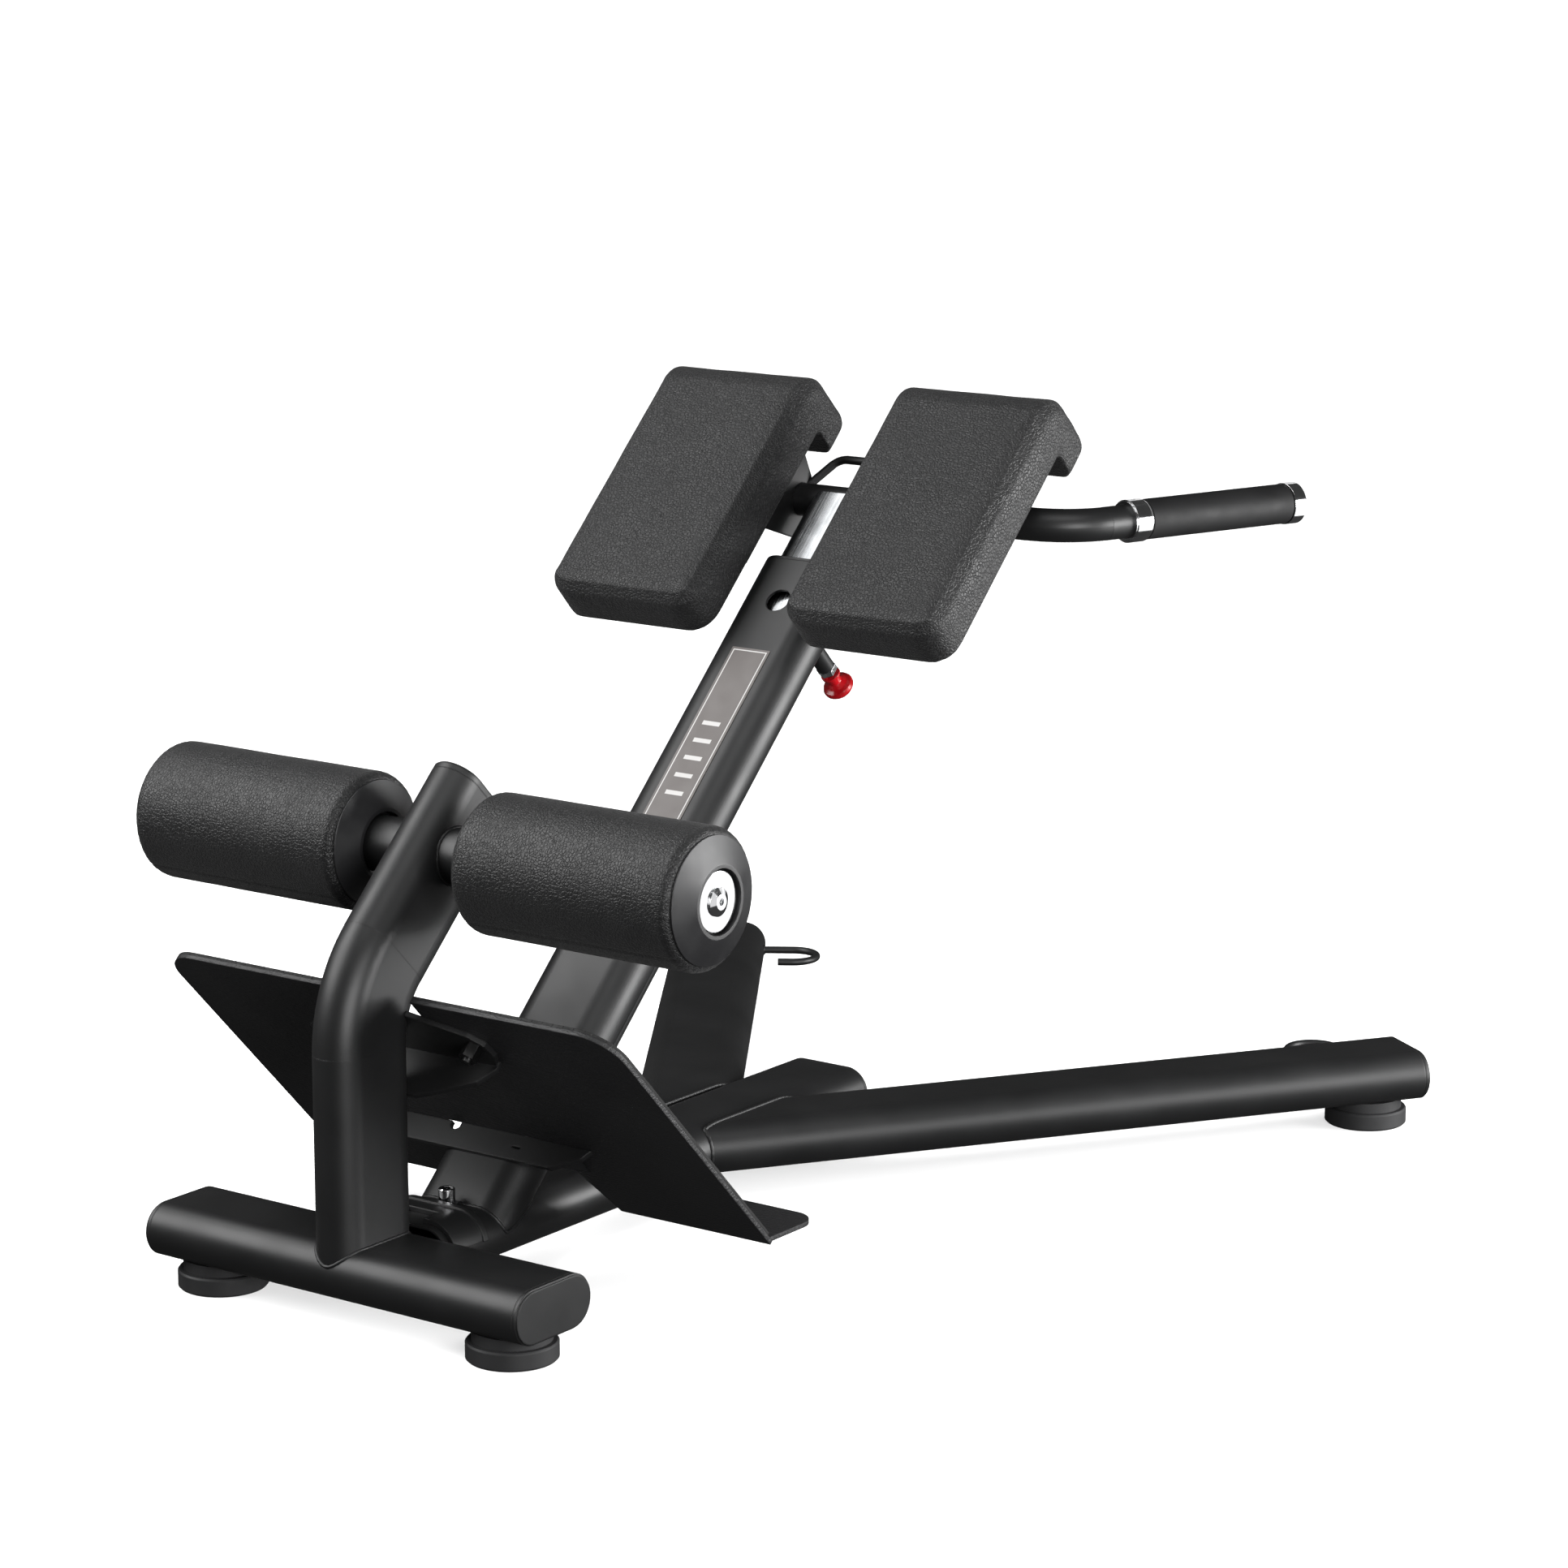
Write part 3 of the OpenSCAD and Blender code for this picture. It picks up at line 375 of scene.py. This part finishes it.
def bead(name, path, radius, closed=True):
    """A weld bead along a path in metres: a thin rippled tube, its radius in millimetres."""
    sides = 8
    verts, faces = [], []
    count = len(path)
    length = 0.0
    for i, p in enumerate(path):
        before = path[(i - 1) % count] if closed or i else p
        after = path[(i + 1) % count] if closed or i < count - 1 else p
        length += (p - path[i - 1]).length if i else 0.0
        along = (after - before).normalized()
        side = along.orthogonal().normalized()
        up = along.cross(side)
        r = radius * (1 + RIPPLE * math.sin(length / RIPPLE_LENGTH)) * MM
        for k in range(sides):
            a = 2 * math.pi * k / sides
            verts.append(p + side * (r * math.cos(a)) + up * (r * math.sin(a)))
    rings = count if closed else count - 1
    for i in range(rings):
        j = (i + 1) % count
        shift = min(range(sides), key=lambda q: sum(
            (verts[i * sides + k] - verts[j * sides + (k + q) % sides]).length
            for k in range(sides)))
        for k in range(sides):
            faces.append((i * sides + k, i * sides + (k + 1) % sides,
                          j * sides + (k + 1 + shift) % sides, j * sides + (k + shift) % sides))
    if not closed:
        faces.append(tuple(range(sides))[::-1])
        faces.append(tuple(range((count - 1) * sides, count * sides)))
    return piece(name, verts, faces, COAT, "frame")


def resampled(path, step):
    """An open path again, with points about step millimetres apart."""
    out = []
    for a, b in zip(path, path[1:]):
        n = max(1, round((b - a).length / (step * MM)))
        out += [a.lerp(b, i / n) for i in range(n)]
    out.append(path[-1])
    return out


def post_weld():
    """Round the foot of the roller post, on the rear cross-foot."""
    return [at(x, y, base_top(x)) for x, y in oval(POST_W + SWAGE, TUBE_T + SWAGE, 160)]


def incline_weld():
    """Round the foot of the incline tube, a hair narrower than the beam that it stands on."""
    path = []
    for y, n in oval(TUBE_W - 0.4, TUBE_T, 160):
        n += INCLINE_N
        path.append(up_incline((base_top(y) - n * CA) / SA, y, n))
    return path


def brace_weld():
    """Round the foot of the brace, on the beam."""
    brace_n = INCLINE_N - TUBE_R - BRACE_T / 2
    low_x = BRACE_FROM_U * CA - brace_n * SA
    brace_x = low_x + BRACE_BEND_R * SA - BRACE_BEND_R
    return [at(brace_x + x, y, base_top(y))
            for y, x in oval(BRACE_W + SWAGE, BRACE_T + SWAGE, 120)]


def axle_weld(sign):
    """Round the axle tube, where it comes out of the post's rounded side."""
    path = []
    post_r = (TUBE_T + SWAGE) / 2
    for i in range(72):
        a = 2 * math.pi * i / 72
        u, n = AXLE_U + AXLE_R * math.cos(a), AXLE_N + AXLE_R * math.sin(a)
        over = min(max(0.0, abs(n - POST_N) - (POST_W - TUBE_T) / 2), TUBE_R)
        path.append(up_incline(u, sign * math.sqrt(post_r ** 2 - over ** 2), n))
    return path


def leg_weld(sign):
    """Where a front leg's oval section meets the beam's rounded side."""
    path = []
    for across, rise in oval(TUBE_W, TUBE_T, 160):
        over = math.sqrt(max(0.0, TUBE_R ** 2 - rise ** 2))
        y = max(FLAT_HALF + over, LEG_CUT_Y)
        s = (y - across * math.cos(LEG)) / math.sin(LEG)
        path.append(along_leg(s, across, BASE_Z + rise, sign))
    return path


def hook_weld(sign):
    """Round one end of a band hook's rod, at the leg's rounded side."""
    return [along_leg(HOOK_S + HOOK_R * math.cos(i * math.pi / 12), HOOK_ACROSS,
                      HOOK_Z + HOOK_R * math.sin(i * math.pi / 12), sign) for i in range(24)]


def brace_seam(sign):
    """Along the brace's upper leg, on the underside of the incline tube."""
    y = sign * ((BRACE_W - BRACE_T) / 2 + 2)
    return [up_incline(BRACE_FROM_U + 2 + i * 2.2, y, INCLINE_N - TUBE_R) for i in range(84)]


def bracket_seam(sign):
    """Along the lower bracket's edge, on the upper side of the incline tube."""
    n = INCLINE_N + TUBE_R + 0.5
    return [up_incline(227.5 + i * 2.0, sign * FLAT_HALF, n - 0.1 * i) for i in range(15)]


def welds():
    """The weld beads round the frame's joints, on the tubes' own surfaces."""
    loops = [("post_weld", post_weld(), 2.0, 2.2), ("incline_weld", incline_weld(), 2.0, 2.2),
             ("brace_weld", brace_weld(), 2.0, 2.2)]
    for label, sign in SIDES:
        loops += [(label + "_axle_weld", axle_weld(sign), 2.0, 2.2),
                  (label + "_leg_weld", leg_weld(sign), 2.4, 2.2),
                  (label + "_hook_weld", hook_weld(sign), 1.3, 1.2)]
    for name, path, radius, step in loops:
        bead(name, resampled(path + [path[0]], step)[:-1], radius)
    for label, sign in SIDES:
        bead(label + "_brace_seam", brace_seam(sign), 2.4, closed=False)
        bead(label + "_bracket_seam", bracket_seam(sign), 1.8, closed=False)


# ---- hip pads ----

PAD_IN, PAD_OUT, PAD_LOW, PAD_TOP = 58.4, 272.6, 912, 1264
PAD_FACE, PAD_BACK, LIP_U, LIP_N = 32.6, -30, 1213, -75
PAD_CORNER_R, PAD_TOP_R, LIP_R = 31, 40, 16
PAD_CHAMFER, PAD_CHAMFER_N = 11, 15  # across the pad and square to its face


def arc(cu, cn, r, start, end, count):
    """Points on an arc about (cu, cn), between two angles in degrees."""
    return [(cu + r * math.cos(math.radians(start + (end - start) * i / count)),
             cn + r * math.sin(math.radians(start + (end - start) * i / count)))
            for i in range(count + 1)]


def pad_ring(inset, low):
    """The pad's side outline, made smaller by inset round its face, top and lip."""
    part = inset / PAD_CHAMFER_N
    face, top, lip = PAD_FACE - inset, PAD_TOP - inset * 0.85, LIP_N + inset * 0.8
    r_top, r_lip = PAD_TOP_R - inset * 0.7, LIP_R - inset * 0.5
    cut = PAD_CHAMFER * (1 - part)
    ring = [(low, PAD_BACK), (low, PAD_FACE - PAD_CHAMFER_N), (low + cut, face)]
    ring += [(low + cut + (top - r_top - low - cut) * i / 6, face) for i in range(1, 6)]
    ring += arc(top - r_top, face - r_top, r_top, 90, 0, 10)
    ring += arc(top - r_lip, lip + r_lip, r_lip, 0, -90, 6)
    ring += [(LIP_U + 2, lip), (LIP_U, lip + 2), (LIP_U, PAD_BACK)]
    return ring


def corner_cut(t):
    """How much shorter the rounded lower end is, at a distance t from the pad's side."""
    if t >= PAD_CORNER_R:
        return 0
    return PAD_CORNER_R - math.sqrt(PAD_CORNER_R ** 2 - (PAD_CORNER_R - t) ** 2)


def pad_shell(shrink):
    """A closed pad, from outlines at places across it, drawn in by shrink for its puffing."""
    rings = []
    width = PAD_OUT - PAD_IN
    offsets = [PAD_CHAMFER * i / 4 for i in range(4)] + [PAD_CHAMFER + 5 * i for i in range(5)]
    stops = offsets + [width / 2] + [width - t for t in reversed(offsets)]
    for stop in stops:
        t = min(stop, width - stop)
        inset = PAD_CHAMFER_N * max(0.0, 1 - t / PAD_CHAMFER)
        ring = pad_ring(inset, PAD_LOW + corner_cut(t))
        rings.append([(u, PAD_IN + stop, n) for u, n in ring])
    verts, faces = [], []
    size = len(rings[0])
    for ring in rings:
        verts += ring
    for i in range(len(rings) - 1):
        for k in range(size):
            a, b = i * size + k, i * size + (k + 1) % size
            faces.append((a, b, b + size, a + size))
    faces.append(tuple(range(size)))
    faces.append(tuple(range((len(rings) - 1) * size, len(rings) * size))[::-1])
    mid_u, mid_y, mid_n = (PAD_LOW + PAD_TOP) / 2, (PAD_IN + PAD_OUT) / 2, PAD_BACK
    moved = []
    for u, y, n in verts:
        moved.append((mid_u + (u - mid_u) * (1 - 2 * shrink / (PAD_TOP - PAD_LOW)),
                      mid_y + (y - mid_y) * (1 - 2 * shrink / width),
                      mid_n + (n - mid_n) * (1 - shrink / (PAD_FACE - PAD_BACK))))
    return moved, faces


def remeshed(obj, voxel):
    """Gives obj an even mesh with faces of about voxel metres."""
    change = obj.modifiers.new("remesh", "REMESH")
    change.mode = "VOXEL"
    change.voxel_size = voxel
    depsgraph = bpy.context.evaluated_depsgraph_get()
    baked = bpy.data.meshes.new_from_object(obj.evaluated_get(depsgraph))
    obj.modifiers.clear()
    old = obj.data
    obj.data = baked
    bpy.data.meshes.remove(old)


def relaxed(obj, factor):
    """Moves each point a little towards its neighbours."""
    bm = bmesh.new()
    bm.from_mesh(obj.data)
    bmesh.ops.smooth_vert(bm, verts=bm.verts, factor=factor, use_axis_x=True, use_axis_y=True,
                          use_axis_z=True)
    bm.to_mesh(obj.data)
    bm.free()


PUFF_STEPS = 20


def puffed(obj, hold, pressure, cap):
    """Inflates obj as cloth by cap metres at most; where hold(co) is true it stays put."""
    rest = [v.co.copy() for v in obj.data.vertices]
    group = obj.vertex_groups.new(name="board")
    group.add([v.index for v in obj.data.vertices if hold(v.co)], 1.0, "REPLACE")
    cloth = obj.modifiers.new("puff", "CLOTH")
    settings = cloth.settings
    settings.vertex_group_mass = "board"
    settings.use_pressure = True
    settings.uniform_pressure_force = pressure
    settings.effector_weights.gravity = 0
    settings.tension_stiffness = 20
    settings.compression_stiffness = 20
    settings.bending_stiffness = 1.5
    scene = bpy.context.scene
    for step in range(1, PUFF_STEPS + 1):
        scene.frame_set(step)
    shaped = obj.evaluated_get(bpy.context.evaluated_depsgraph_get()).to_mesh()
    moves = [v.co - r for v, r in zip(shaped.vertices, rest)]
    obj.modifiers.clear()
    obj.vertex_groups.clear()
    for v, r, d in zip(obj.data.vertices, rest, moves):
        if d.length > cap:
            d = d * (cap / d.length)
        v.co = r + d
    scene.frame_set(1)


BOARD = moulded("pad_board", (0.010, 0.010, 0.011), (0.015, 0.015, 0.016), 0.55, 0.7, 0.2)


UNEVEN_SCALE, UNEVEN_HEIGHT = 28, 0.00035


def soften(mesh):
    """A slight unevenness of the cover, clear of the pad's board."""
    for v in mesh.vertices:
        u, y, n = v.co
        soft = noise.noise(Vector((u * UNEVEN_SCALE, y * UNEVEN_SCALE, n * UNEVEN_SCALE)))
        if n > (PAD_BACK + 6) * MM:
            v.co += v.normal * (UNEVEN_HEIGHT * soft)


def add_board(mesh):
    """The flat middle of the pad's back shows its board."""
    low_u, high_u = (PAD_LOW + 14) * MM, (LIP_U - 8) * MM
    inner_y, outer_y = (PAD_IN + 12) * MM, (PAD_OUT - 12) * MM
    mesh.materials.append(BOARD)
    for f in mesh.polygons:
        u, y, n = f.center
        on_back = f.normal.z < -0.8 and n < (PAD_BACK + 4) * MM
        if on_back and low_u < u < high_u and inner_y < y < outer_y:
            f.material_index = 1


def make_pads():
    """Both hip pads: one is shaped lying along the incline, and the other mirrors it."""
    verts, faces = pad_shell(shrink=1.2)
    first = piece("left_pad_cover", [Vector(v) * MM for v in verts], faces, LEATHER, "carriage")
    remeshed(first, voxel=0.0028)
    relaxed(first, 0.5)
    puffed(first, lambda co: co.z < (PAD_BACK + 2.5) * MM and co.x < (LIP_U + 2) * MM,
           pressure=4.0, cap=0.0010)
    relaxed(first, 0.3)
    mesh = first.data
    soften(mesh)
    add_board(mesh)
    turn = Matrix(((CA, 0, -SA, -MIDDLE_X * MM), (0, 1, 0, 0), (SA, 0, CA, 0), (0, 0, 0, 1)))
    second = bpy.data.objects.new("right_pad_cover", mesh.copy())
    bpy.context.scene.collection.objects.link(second)
    for obj, flip in ((first, 1), (second, -1)):
        obj.data.transform(Matrix.Diagonal((1, flip, 1, 1)))
        if flip < 0:
            obj.data.flip_normals()
        obj.data.transform(turn)
        obj.data.polygons.foreach_set("use_smooth", [True] * len(obj.data.polygons))
        obj.modifiers.new("fine", "SUBSURF").render_levels = 1
    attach(second, "carriage")
    for obj, node in ((first, "left_pad"), (second, "right_pad")):
        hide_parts(node)


# ---- foam rollers ----

ROLLER_LENGTH, ROLLER_INNER_Y, ROLLER_R, ROLLER_EDGE_R = 279, 80, 75.0, 11
PLAIN_END_R, SEAM_ANGLE = 59, 3.9


def roller_profile():
    """(distance from the inner end, radius) along a roller, in millimetres."""
    length, edge, rise = ROLLER_LENGTH, ROLLER_EDGE_R, ROLLER_EDGE_R - 0.2
    rim = ROLLER_R - edge
    points = [(0.6, 41), (0.6, 52), (0.3, 60)]
    points += [(edge - edge * math.cos(a), rim + rise * math.sin(a))
               for a in [math.pi / 2 * i / 8 for i in range(1, 9)]]
    points += [(edge + (length - 2 * edge) * i / 64, ROLLER_R - 0.2) for i in range(1, 64)]
    points += [(length - edge + edge * math.sin(a), rim + rise * math.cos(a))
               for a in [math.pi / 2 * i / 8 for i in range(0, 8)]]
    points += [(length - 0.3, 60), (length - 0.6, 52), (length - 0.6, 41)]
    return points


def cover_radius(radius, along, a, sign):
    """The cover's radius at an angle: rippled, gathered at its ends, with one sewn seam."""
    place = Vector((math.cos(a) * 2.4, math.sin(a) * 2.4, along * 0.02 + 5 * sign))
    ripple = 0.45 * noise.noise(place)
    from_end = min(along, ROLLER_LENGTH - along)
    gather = 0.30 * math.exp(-from_end / 9) * math.sin(46 * a + 2.1 * math.sin(3 * a))
    off_seam = abs((a - SEAM_ANGLE + math.pi) % (2 * math.pi) - math.pi) * ROLLER_R
    seam = (-0.9 * math.exp(-(off_seam / 1.6) ** 2)
            + 0.35 * math.exp(-((off_seam - 4.5) / 2) ** 2))
    return min(ROLLER_R, radius - 0.35 + ripple * 0.7 + gather + seam)


def make_roller(label, sign):
    """A stretched cover over foam, turned from its profile; its ends' middles stay plain."""
    around = 192
    profile = roller_profile()
    centre = up_incline(AXLE_U, 0, AXLE_N)
    verts, faces = [], []
    for along, radius in profile:
        y = sign * (ROLLER_INNER_Y + along)
        for k in range(around):
            a = 2 * math.pi * k / around
            r = cover_radius(radius, along, a, sign) if radius > PLAIN_END_R else radius
            verts.append(centre + Vector((r * math.cos(a) * MM, y * MM, r * math.sin(a) * MM)))
    rows = len(profile)
    for i in range(rows):
        j = (i + 1) % rows
        for k in range(around):
            m = (k + 1) % around
            faces.append((i * around + k, i * around + m, j * around + m, j * around + k))
    roller = piece(label + "_roller_cover", verts, faces, ROLLER_LEATHER, label + "_roller")
    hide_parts(label + "_roller_pad")


welds()
make_pads()
for label, sign in SIDES:
    make_roller(label, sign)


# ---- floor, light and camera ----

def make_floor():
    """Pale paper, unseen by the object, so that it throws no light up on the dark metal."""
    bpy.ops.mesh.primitive_plane_add(size=800, location=(0, 0, -0.0005))
    floor = bpy.context.object
    floor.name = "pale_floor"
    look = Look("floor_paper", (0.93, 0.93, 0.93), 0.9, specular=0.1)
    look.color_from(look.noise(3, 3), (0.925, 0.925, 0.925), (0.94, 0.94, 0.94))
    floor.data.materials.append(look.mat)
    floor.visible_diffuse = False
    floor.visible_glossy = False


def lamp(name, kind, place, direction, power):
    """A light of some kind at a place, shining in a direction."""
    data = bpy.data.lights.new(name, kind)
    data.energy = power
    obj = bpy.data.objects.new(name, data)
    obj.location = place
    obj.rotation_mode = "QUATERNION"
    obj.rotation_quaternion = direction.to_track_quat("-Z", "Y")
    bpy.context.scene.collection.objects.link(obj)
    return obj


def reach(light, objects):
    """Lets a light reach only some objects, and returns the collection that holds them."""
    group = bpy.data.collections.new(light.name + "_reach")
    for obj in objects:
        group.objects.link(obj)
    light.light_linking.receiver_collection = group
    return group


def softbox(name, place, aim, size, power):
    """A soft rectangular light that faces the point aim."""
    light = lamp(name, "AREA", place, Vector(aim) - Vector(place), power)
    light.data.shape = "RECTANGLE"
    light.data.size, light.data.size_y = size
    light.visible_camera = False
    return light


def paper_light(name, place, strength):
    """A wide, even light that reaches only the floor paper, so the dark metal keeps its shading."""
    light = lamp(name, "SUN", place, -Vector(place), strength)
    light.data.angle = math.radians(60)
    return light, reach(light, [bpy.data.objects["pale_floor"]])


def make_light():
    """Softboxes for the object, panels that only the chrome mirrors, and light for the paper."""
    world = bpy.data.worlds.new("studio")
    bpy.context.scene.world = world
    world.use_nodes = True
    sky = world.node_tree.nodes["Background"]
    sky.inputs["Color"].default_value = (1, 1, 1, 1)
    sky.inputs["Strength"].default_value = 0.05
    softbox("key", (-2.3, 2.1, 2.3), (0, 0, 0.4), (2.6, 2.2), 110)
    softbox("camera_fill", (-2.4, -3.5, 1.0), (0, 0, 0.35), (2.3, 1.6), 120)
    softbox("right_fill", (1.7, -3.0, 0.75), (0, 0, 0.35), (2.4, 1.4), 150)
    softbox("upper_left", (-0.8, 1.9, 3.2), (0, 0, 0.5), (2.2, 1.6), 38)
    softbox("overhead", (-1.0, -1.0, 3.3), (0, 0, 0.5), (2.0, 1.6), 24)
    softbox("white_card", (0.6, -1.3, 0.41), (-0.4, -0.3, 0.36), (1.6, 0.8), 6)
    chromed = [NODES[part] for part, slot in slots.items() if slot == "bright_chrome"]
    for name, place in (("room_left", (-1.5, 4.0, 1.5)), ("room_front", (4.0, -1.0, 1.5)),
                        ("room_top", (0.3, 0.2, 4.2)), ("room_back", (-4.2, -1.5, 1.0)),
                        ("room_far", (3.2, 2.6, 1.4)), ("room_right", (1.0, -4.0, 0.4))):
        reach(softbox(name, place, (0, 0, 0.5), (4.5, 3.0), 34), chromed)
    even, paper = paper_light("paper_even", (0, 0, 5), 3.6)
    even.light_linking.blocker_collection = paper
    paper_light("paper_shadow", (-0.6, -0.5, 5), 0.5)


def make_camera():
    """A long lens at the rear right of the machine, a little above it."""
    data = bpy.data.cameras.new("camera")
    data.sensor_width = 36
    data.lens = 105.354
    data.clip_end = 1000
    camera = bpy.data.objects.new("camera", data)
    camera.location = (-4.04206, -3.0213, 1.55)
    yaw, pitch = math.radians(36.089), math.radians(12.2223)
    ahead = Vector((math.cos(yaw) * math.cos(pitch), math.sin(yaw) * math.cos(pitch),
                    -math.sin(pitch)))
    camera.rotation_mode = "QUATERNION"
    camera.rotation_quaternion = ahead.to_track_quat("-Z", "Y")
    bpy.context.scene.collection.objects.link(camera)
    bpy.context.scene.camera = camera


make_floor()
make_light()
make_camera()
bpy.context.scene.view_settings.view_transform = "Standard"
